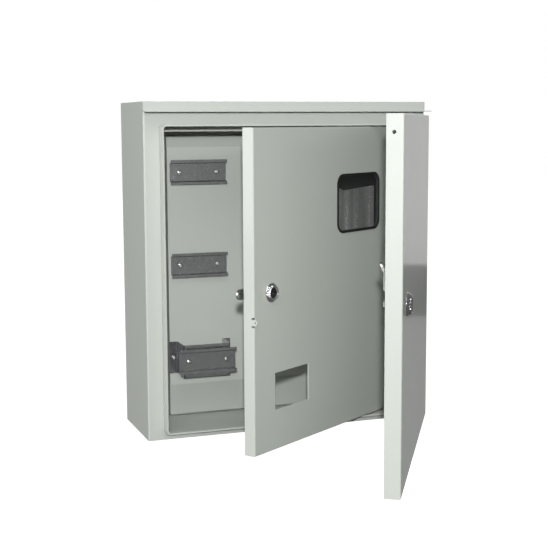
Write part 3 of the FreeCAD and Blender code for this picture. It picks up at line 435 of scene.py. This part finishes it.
def head(radius, height, recess, centre):
    """Fastener head facing the front: a dome of height * (1 - (r / R)^4) ^ 0.5, less a recess of r and angle.

    Its rings run from the crown to the rim, down the rim and back under it to the middle.
    """
    crown, rim, hub, rings_of_dome, turns_of_head = 0.004, 0.999, 0.01, 15, 36
    edge, seat = 0.12 * height, -0.05 * height
    steps = np.concatenate([np.linspace(crown, rim, rings_of_dome), [1.0, 1.0, hub]])
    dome = np.sqrt(np.clip(1 - steps ** 4, 0, 1)) * height
    dome[-3:] = (edge, seat, seat)
    angle = even_angles(turns_of_head)
    rings, turns = np.meshgrid(steps * radius, angle, indexing="ij")
    level = np.repeat(dome[:, None], angle.size, axis=1)
    level[:-3] -= recess(rings[:-3], turns[:-3])
    points = turned_shape(rings, level, turns, centre, (0, -1, 0), (1, 0, 0))
    faces = grid_faces(steps.size, angle.size)[:, ::-1].tolist()
    faces.append(list(range(angle.size)))
    faces.append(list(range((steps.size - 1) * angle.size, steps.size * angle.size))[::-1])
    return points.reshape(-1, 3), faces


def smooth_step(value, low, high):
    """Rises from 0 at low to 1 at high, as 3t^2 - 2t^3."""
    t = np.clip((value - low) / (high - low), 0, 1)
    return t * t * (3 - 2 * t)


def eye_recess(radius, depth):
    """Recess of a rivet: a round hollow in its crown."""
    floor, brim = 0.7 * radius, 1.15 * radius
    return lambda ring, turn: depth * (1 - smooth_step(ring, floor, brim))


def cross_recess(radius, depth):
    """Recess of a screw: two tapering slots that cross, deep in the middle and ending inside the rim."""
    slot_width, slot_end, slot_limit = 0.24 * radius, 0.5 * radius, 0.66 * radius

    def recess(ring, turn):
        x, z = ring * np.cos(turn), ring * np.sin(turn)
        off = np.minimum(np.abs(x), np.abs(z))
        taper = 1 - 0.5 * ring / radius
        width = slot_width * taper
        across = 1 - smooth_step(off, 0.6 * width, 1.1 * width)
        along = 1 - smooth_step(ring, slot_end, slot_limit)
        return depth * across * along * taper
    return recess


def joined(parts):
    """Puts several shapes into one pair of vertices and faces."""
    vertices, faces, base = [], [], 0
    for points, own in parts:
        vertices.append(points)
        faces += [[index + base for index in face] for face in own]
        base += len(points)
    return np.concatenate(vertices), faces


def spread(node, inset):
    """Returns the x of a node's first and last fastener, set in from its box."""
    low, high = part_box(node)
    return low[0] + inset, high[0] - inset


def lock_ring(joint, radii, heights, flutes, depth):
    """Ring about a lock's axis: a closed profile of radius, height and share of flute.

    The radius is less by share * depth * (0.5 + 0.5 cos(n angle))^2, for n flutes.
    """
    hole, front, foot, barrel = radii
    face, top, bottom, dish = heights
    edge, corner, skirt, swell, ease, turns_of_ring = 0.0011, 0.0003, 0.0009, 0.0013, 0.0002, 144
    rim = front - edge
    middle = (0.5 * (front + foot), 0.5 * (top + face))
    profile = np.array([
        (hole, bottom, 0), (hole, top - dish, 0), (rim - dish, top - dish, 0),
        (rim - 0.4 * dish, top - 0.3 * dish, 0), (rim, top, 0), (front - corner, top - corner, 0.6),
        (front, top - edge, 1), (*middle, 1), (foot - ease, face + swell, 0.3), (foot, face + skirt, 0),
        (foot, face, 0), (barrel, face, 0), (barrel, bottom, 0)])
    angle = even_angles(turns_of_ring)
    turns = np.broadcast_to(angle, (len(profile), angle.size))
    cut = depth * (0.5 + 0.5 * np.cos(flutes * turns)) ** 2 * profile[:, 2:] if flutes else 0 * turns
    radius = profile[:, :1] - cut
    level = np.repeat(profile[:, 1:2], angle.size, axis=1)
    centre, along = JOINTS[joint]["pos_m"], np.array(JOINTS[joint]["axis"])
    points = turned_shape(radius, level, turns, centre, along, np.cross((0, 0, 1), along))
    return points.reshape(-1, 3), grid_faces(len(profile), angle.size, close_rows=True).tolist()


def reach(node, joint):
    """Returns how far a node goes back and forward along a joint's axis, from the joint's point."""
    mesh = frame["nodes"][node].data
    points = np.empty(len(mesh.vertices) * 3)
    mesh.vertices.foreach_get("co", points)
    along = (points.reshape(-1, 3) - JOINTS[joint]["pos_m"]) @ np.array(JOINTS[joint]["axis"])
    return along.min(), along.max()


class METERBOX_OT_sheets(bpy.types.Operator):
    """Paint the cabinet and both doors, and finish the bare sheets"""
    bl_idname = "meterbox.sheets"
    bl_label = "Sheets"

    def execute(self, context):
        paint, metal = context.scene.meterbox_paint, context.scene.meterbox_metal
        dress(powder_coat(paint, "powder_coat", 1), PAINTED)
        # The tray's darker copy of the coat is painted shade.
        dress(powder_coat(paint, "tray_coat_painted_shade", paint.tray_painted_shade), ("mounting_tray",))
        dress(galvanised(metal, "galvanised_sheet", 1, 0), GALVANISED)
        # The meter plate's lighter copy of the zinc is painted light.
        dress(galvanised(metal, "rolled_sheet_painted_light", metal.plate_painted_light, metal.streaks), ("meter_plate",))
        return {"FINISHED"}


class METERBOX_OT_hardware(bpy.types.Operator):
    """Finish cams, nuts, pins, screws, plugs, the seal, the window and the black board of painted shade"""
    bl_idname = "meterbox.hardware"
    bl_label = "Hardware"

    def execute(self, context):
        metal = context.scene.meterbox_metal
        ring_grain, foam_grain = 0.00002, 0.0001
        dress(plated(metal), PLATED)
        dress(chrome(metal), ("outer_lock_plug",))
        dress(dark_satin(), ("inner_lock_plug",))
        dress(rubber(metal, "window_rubber", ring_grain), ("window_gasket",))
        dress(rubber(metal, "seal_foam", foam_grain), ("outer_door_seal",))
        dress(clear_pane(metal), ("window_pane",))
        # The board's black is painted shade: a dark sheet put where there is only shade behind the window.
        dress(painted_shade_board(), ("insulating_board",))
        return {"FINISHED"}


class METERBOX_OT_rivets(bpy.types.Operator):
    """Set a hollow rivet head at each end of each rail"""
    bl_idname = "meterbox.rivets"
    bl_label = "Rivets"

    def execute(self, context):
        sizes = context.scene.meterbox_fasteners
        across = spread("rail_rivets", sizes.rivet_radius)
        eye_depth = 0.6 * sizes.rivet_height
        recess = eye_recess(sizes.rivet_eye, eye_depth)
        parts = []
        for rail in ("upper_rail", "middle_rail", "lower_rail"):
            low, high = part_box(rail)
            for x in across:
                centre = (x, high[1] - sizes.sheet, (low[2] + high[2]) / 2)
                parts.append(head(sizes.rivet_radius, sizes.rivet_height, recess, centre))
        finish = plated(context.scene.meterbox_metal)
        vertices, faces = joined(parts)
        new_piece("rivet_heads", vertices, faces, finish, "cabinet", "rivet_aluminium", "rail_rivets")
        return {"FINISHED"}


class METERBOX_OT_screws(bpy.types.Operator):
    """Set cross-recessed screws in the bracket of the lowest rail"""
    bl_idname = "meterbox.screws"
    bl_label = "Screws"

    def execute(self, context):
        sizes = context.scene.meterbox_fasteners
        finish = plated(context.scene.meterbox_metal)
        low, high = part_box("bracket_screws")
        cross_depth = 0.7 * sizes.ear_height
        recess = cross_recess(sizes.ear_radius, cross_depth)
        face, level = high[1] - sizes.ear_sheet, (low[2] + high[2]) / 2
        parts = [head(sizes.ear_radius, sizes.ear_height, recess, (x, face, level))
                 for x in spread("bracket_screws", sizes.ear_radius)]
        vertices, faces = joined(parts)
        new_piece("bracket_screw_heads", vertices, faces, finish, "cabinet", "zinc_plated_steel",
                  "bracket_screws")
        return {"FINISHED"}


class METERBOX_OT_locks(bpy.types.Operator):
    """Turn the bezels of both locks"""
    bl_idname = "meterbox.locks"
    bl_label = "Lock bezels"

    def execute(self, context):
        sizes = context.scene.meterbox_locks
        finish = chrome(context.scene.meterbox_metal)
        for name, radii, flutes in (("outer", sizes.outer_radii, sizes.outer_flutes),
                                    ("inner", sizes.inner_radii, sizes.inner_flutes)):
            joint, housing = name + "_lock_turn", name + "_lock_housing"
            bottom, top = reach(housing, joint)
            face = reach(name + "_lock_nut", joint)[1] + sizes.door_sheet
            heights = (face, top, bottom, sizes.dish)
            points, faces = lock_ring(joint, radii, heights, flutes, sizes.flute_depth)
            new_piece(name + "_lock_bezel", points, faces, finish, name + "_door", "lock_chrome", housing)
        return {"FINISHED"}


class METERBOX_OT_stage(bpy.types.Operator):
    """Set up the floor, the studio light and the camera"""
    bl_idname = "meterbox.stage"
    bl_label = "Stage"

    def execute(self, context):
        settings = context.scene.meterbox_stage
        lay_floor(settings)
        light_room(settings)
        for name, (place, target, size, setting, part) in LIGHTS.items():
            hang_light(name, place, target, size, part * getattr(settings, setting))
        set_camera(settings)
        return {"FINISHED"}


def lay_floor(settings):
    """Lays a wide pale floor under the object: a grid of points on a level plane, which lights nothing."""
    pale, half_width, side = (0.8, 0.8, 0.8, 1), 20, 9
    level = CAD_BOX[0][2] - settings.floor_drop
    steps = np.linspace(-half_width, half_width, side)
    x, y = np.meshgrid(steps, steps, indexing="ij")
    points = np.stack([x, y, np.full_like(x, level)], axis=-1).reshape(-1, 3)
    corners = [row * side + column for row in range(side - 1) for column in range(side - 1)]
    mesh = bpy.data.meshes.new("floor")
    mesh.from_pydata(points, [], [[at, at + side, at + side + 1, at + 1] for at in corners])
    finish = Finish("pale_floor", {"Roughness": 0.9, "Emission Strength": 1, "Emission Color": WHITE})
    finish.colour(finish.tint(pale, finish.noise(scale=3, detail=2) * 0.02))
    mesh.materials.append(finish.material)
    floor = bpy.data.objects.new("floor", mesh)
    floor.visible_diffuse = False
    floor.visible_glossy = False
    floor.visible_shadow = False
    bpy.context.scene.collection.objects.link(floor)


def light_room(settings):
    """Sets a room light that grows from the ground to the sky, behind a white that only the camera sees."""
    world = bpy.data.worlds.new("studio")
    world.use_nodes = True
    tree = world.node_tree
    room = next(item for item in tree.nodes if item.type == "BACKGROUND")
    way = tree.nodes.new("ShaderNodeTexCoord")
    split = tree.nodes.new("ShaderNodeSeparateXYZ")
    rise = tree.nodes.new("ShaderNodeMapRange")
    tree.links.new(way.outputs["Generated"], split.inputs[0])
    tree.links.new(split.outputs["Z"], rise.inputs["Value"])
    rise.inputs["From Min"].default_value = -1
    rise.inputs["To Min"].default_value = settings.ground
    rise.inputs["To Max"].default_value = settings.sky
    tree.links.new(rise.outputs[0], room.inputs[1])
    room.inputs[0].default_value = WHITE
    seen = tree.nodes.new("ShaderNodeBackground")
    path = tree.nodes.new("ShaderNodeLightPath")
    choice = tree.nodes.new("ShaderNodeMixShader")
    tree.links.new(path.outputs["Is Camera Ray"], choice.inputs[0])
    tree.links.new(room.outputs[0], choice.inputs[1])
    tree.links.new(seen.outputs[0], choice.inputs[2])
    seen.inputs[0].default_value = WHITE
    out = next(item for item in tree.nodes if item.type == "OUTPUT_WORLD")
    tree.links.new(choice.outputs[0], out.inputs[0])
    bpy.context.scene.world = world
    bpy.context.scene.view_settings.view_transform = "Standard"


def hang_light(name, place, target, size, watts):
    """Hangs a flat light of a width and a height at a place, facing a target."""
    lamp = bpy.data.lights.new(name, "AREA")
    lamp.shape = "RECTANGLE"
    lamp.size, lamp.size_y = size
    lamp.energy = watts
    light = bpy.data.objects.new(name, lamp)
    light.location = place
    light.rotation_euler = (Vector(target) - Vector(place)).to_track_quat("-Z", "Y").to_euler()
    bpy.context.scene.collection.objects.link(light)


def set_camera(settings):
    """Aims the camera: turned right from the wall's direction, tilted up, then rolled."""
    turn, tilt, roll = settings.camera_turn
    ahead = Vector((math.sin(turn) * math.cos(tilt), math.cos(turn) * math.cos(tilt), math.sin(tilt)))
    level = Vector((math.cos(turn), -math.sin(turn), 0))
    above = level.cross(ahead)
    right = math.cos(roll) * level + math.sin(roll) * above
    up = right.cross(ahead)
    lens = bpy.data.cameras.new("camera")
    lens.sensor_width = FILM_WIDTH
    lens.lens = settings.lens
    lens.clip_end = FARTHEST_VIEW
    camera = bpy.data.objects.new("camera", lens)
    facing = Matrix((right, up, -ahead)).transposed().to_4x4()
    camera.matrix_world = Matrix.Translation(settings.camera_place) @ facing
    bpy.context.scene.collection.objects.link(camera)
    bpy.context.scene.camera = camera


class METERBOX_PT_panel(bpy.types.Panel):
    """Sizes and colours of the meter box, and a button for each step"""
    bl_idname = "METERBOX_PT_panel"
    bl_label = "Meter box"
    bl_space_type = "VIEW_3D"
    bl_region_type = "UI"
    bl_category = "Meter box"

    def draw(self, context):
        for name, group in GROUPS.items():
            box = self.layout.box()
            for setting in group.__annotations__:
                box.prop(getattr(context.scene, name), setting)
        for operator in OPERATORS:
            self.layout.operator(operator.bl_idname)


GROUPS = {"meterbox_paint": PaintSettings, "meterbox_metal": MetalSettings,
          "meterbox_fasteners": FastenerSettings, "meterbox_locks": LockSettings,
          "meterbox_stage": StageSettings}
OPERATORS = (METERBOX_OT_sheets, METERBOX_OT_hardware, METERBOX_OT_rivets, METERBOX_OT_screws,
             METERBOX_OT_locks, METERBOX_OT_stage)


def register():
    """Adds the classes and hangs the settings on the scene."""
    for item in (*GROUPS.values(), *OPERATORS, METERBOX_PT_panel):
        bpy.utils.register_class(item)
    for name, group in GROUPS.items():
        setattr(bpy.types.Scene, name, bpy.props.PointerProperty(type=group))


def unregister():
    """Takes the settings and the classes away again."""
    for name in GROUPS:
        delattr(bpy.types.Scene, name)
    for item in (METERBOX_PT_panel, *reversed(OPERATORS), *reversed(GROUPS.values())):
        bpy.utils.unregister_class(item)


def main():
    """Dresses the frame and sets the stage."""
    register()
    bpy.ops.meterbox.sheets()
    bpy.ops.meterbox.hardware()
    bpy.ops.meterbox.rivets()
    bpy.ops.meterbox.screws()
    bpy.ops.meterbox.locks()
    bpy.ops.meterbox.stage()


if __name__ == "__main__":
    main()
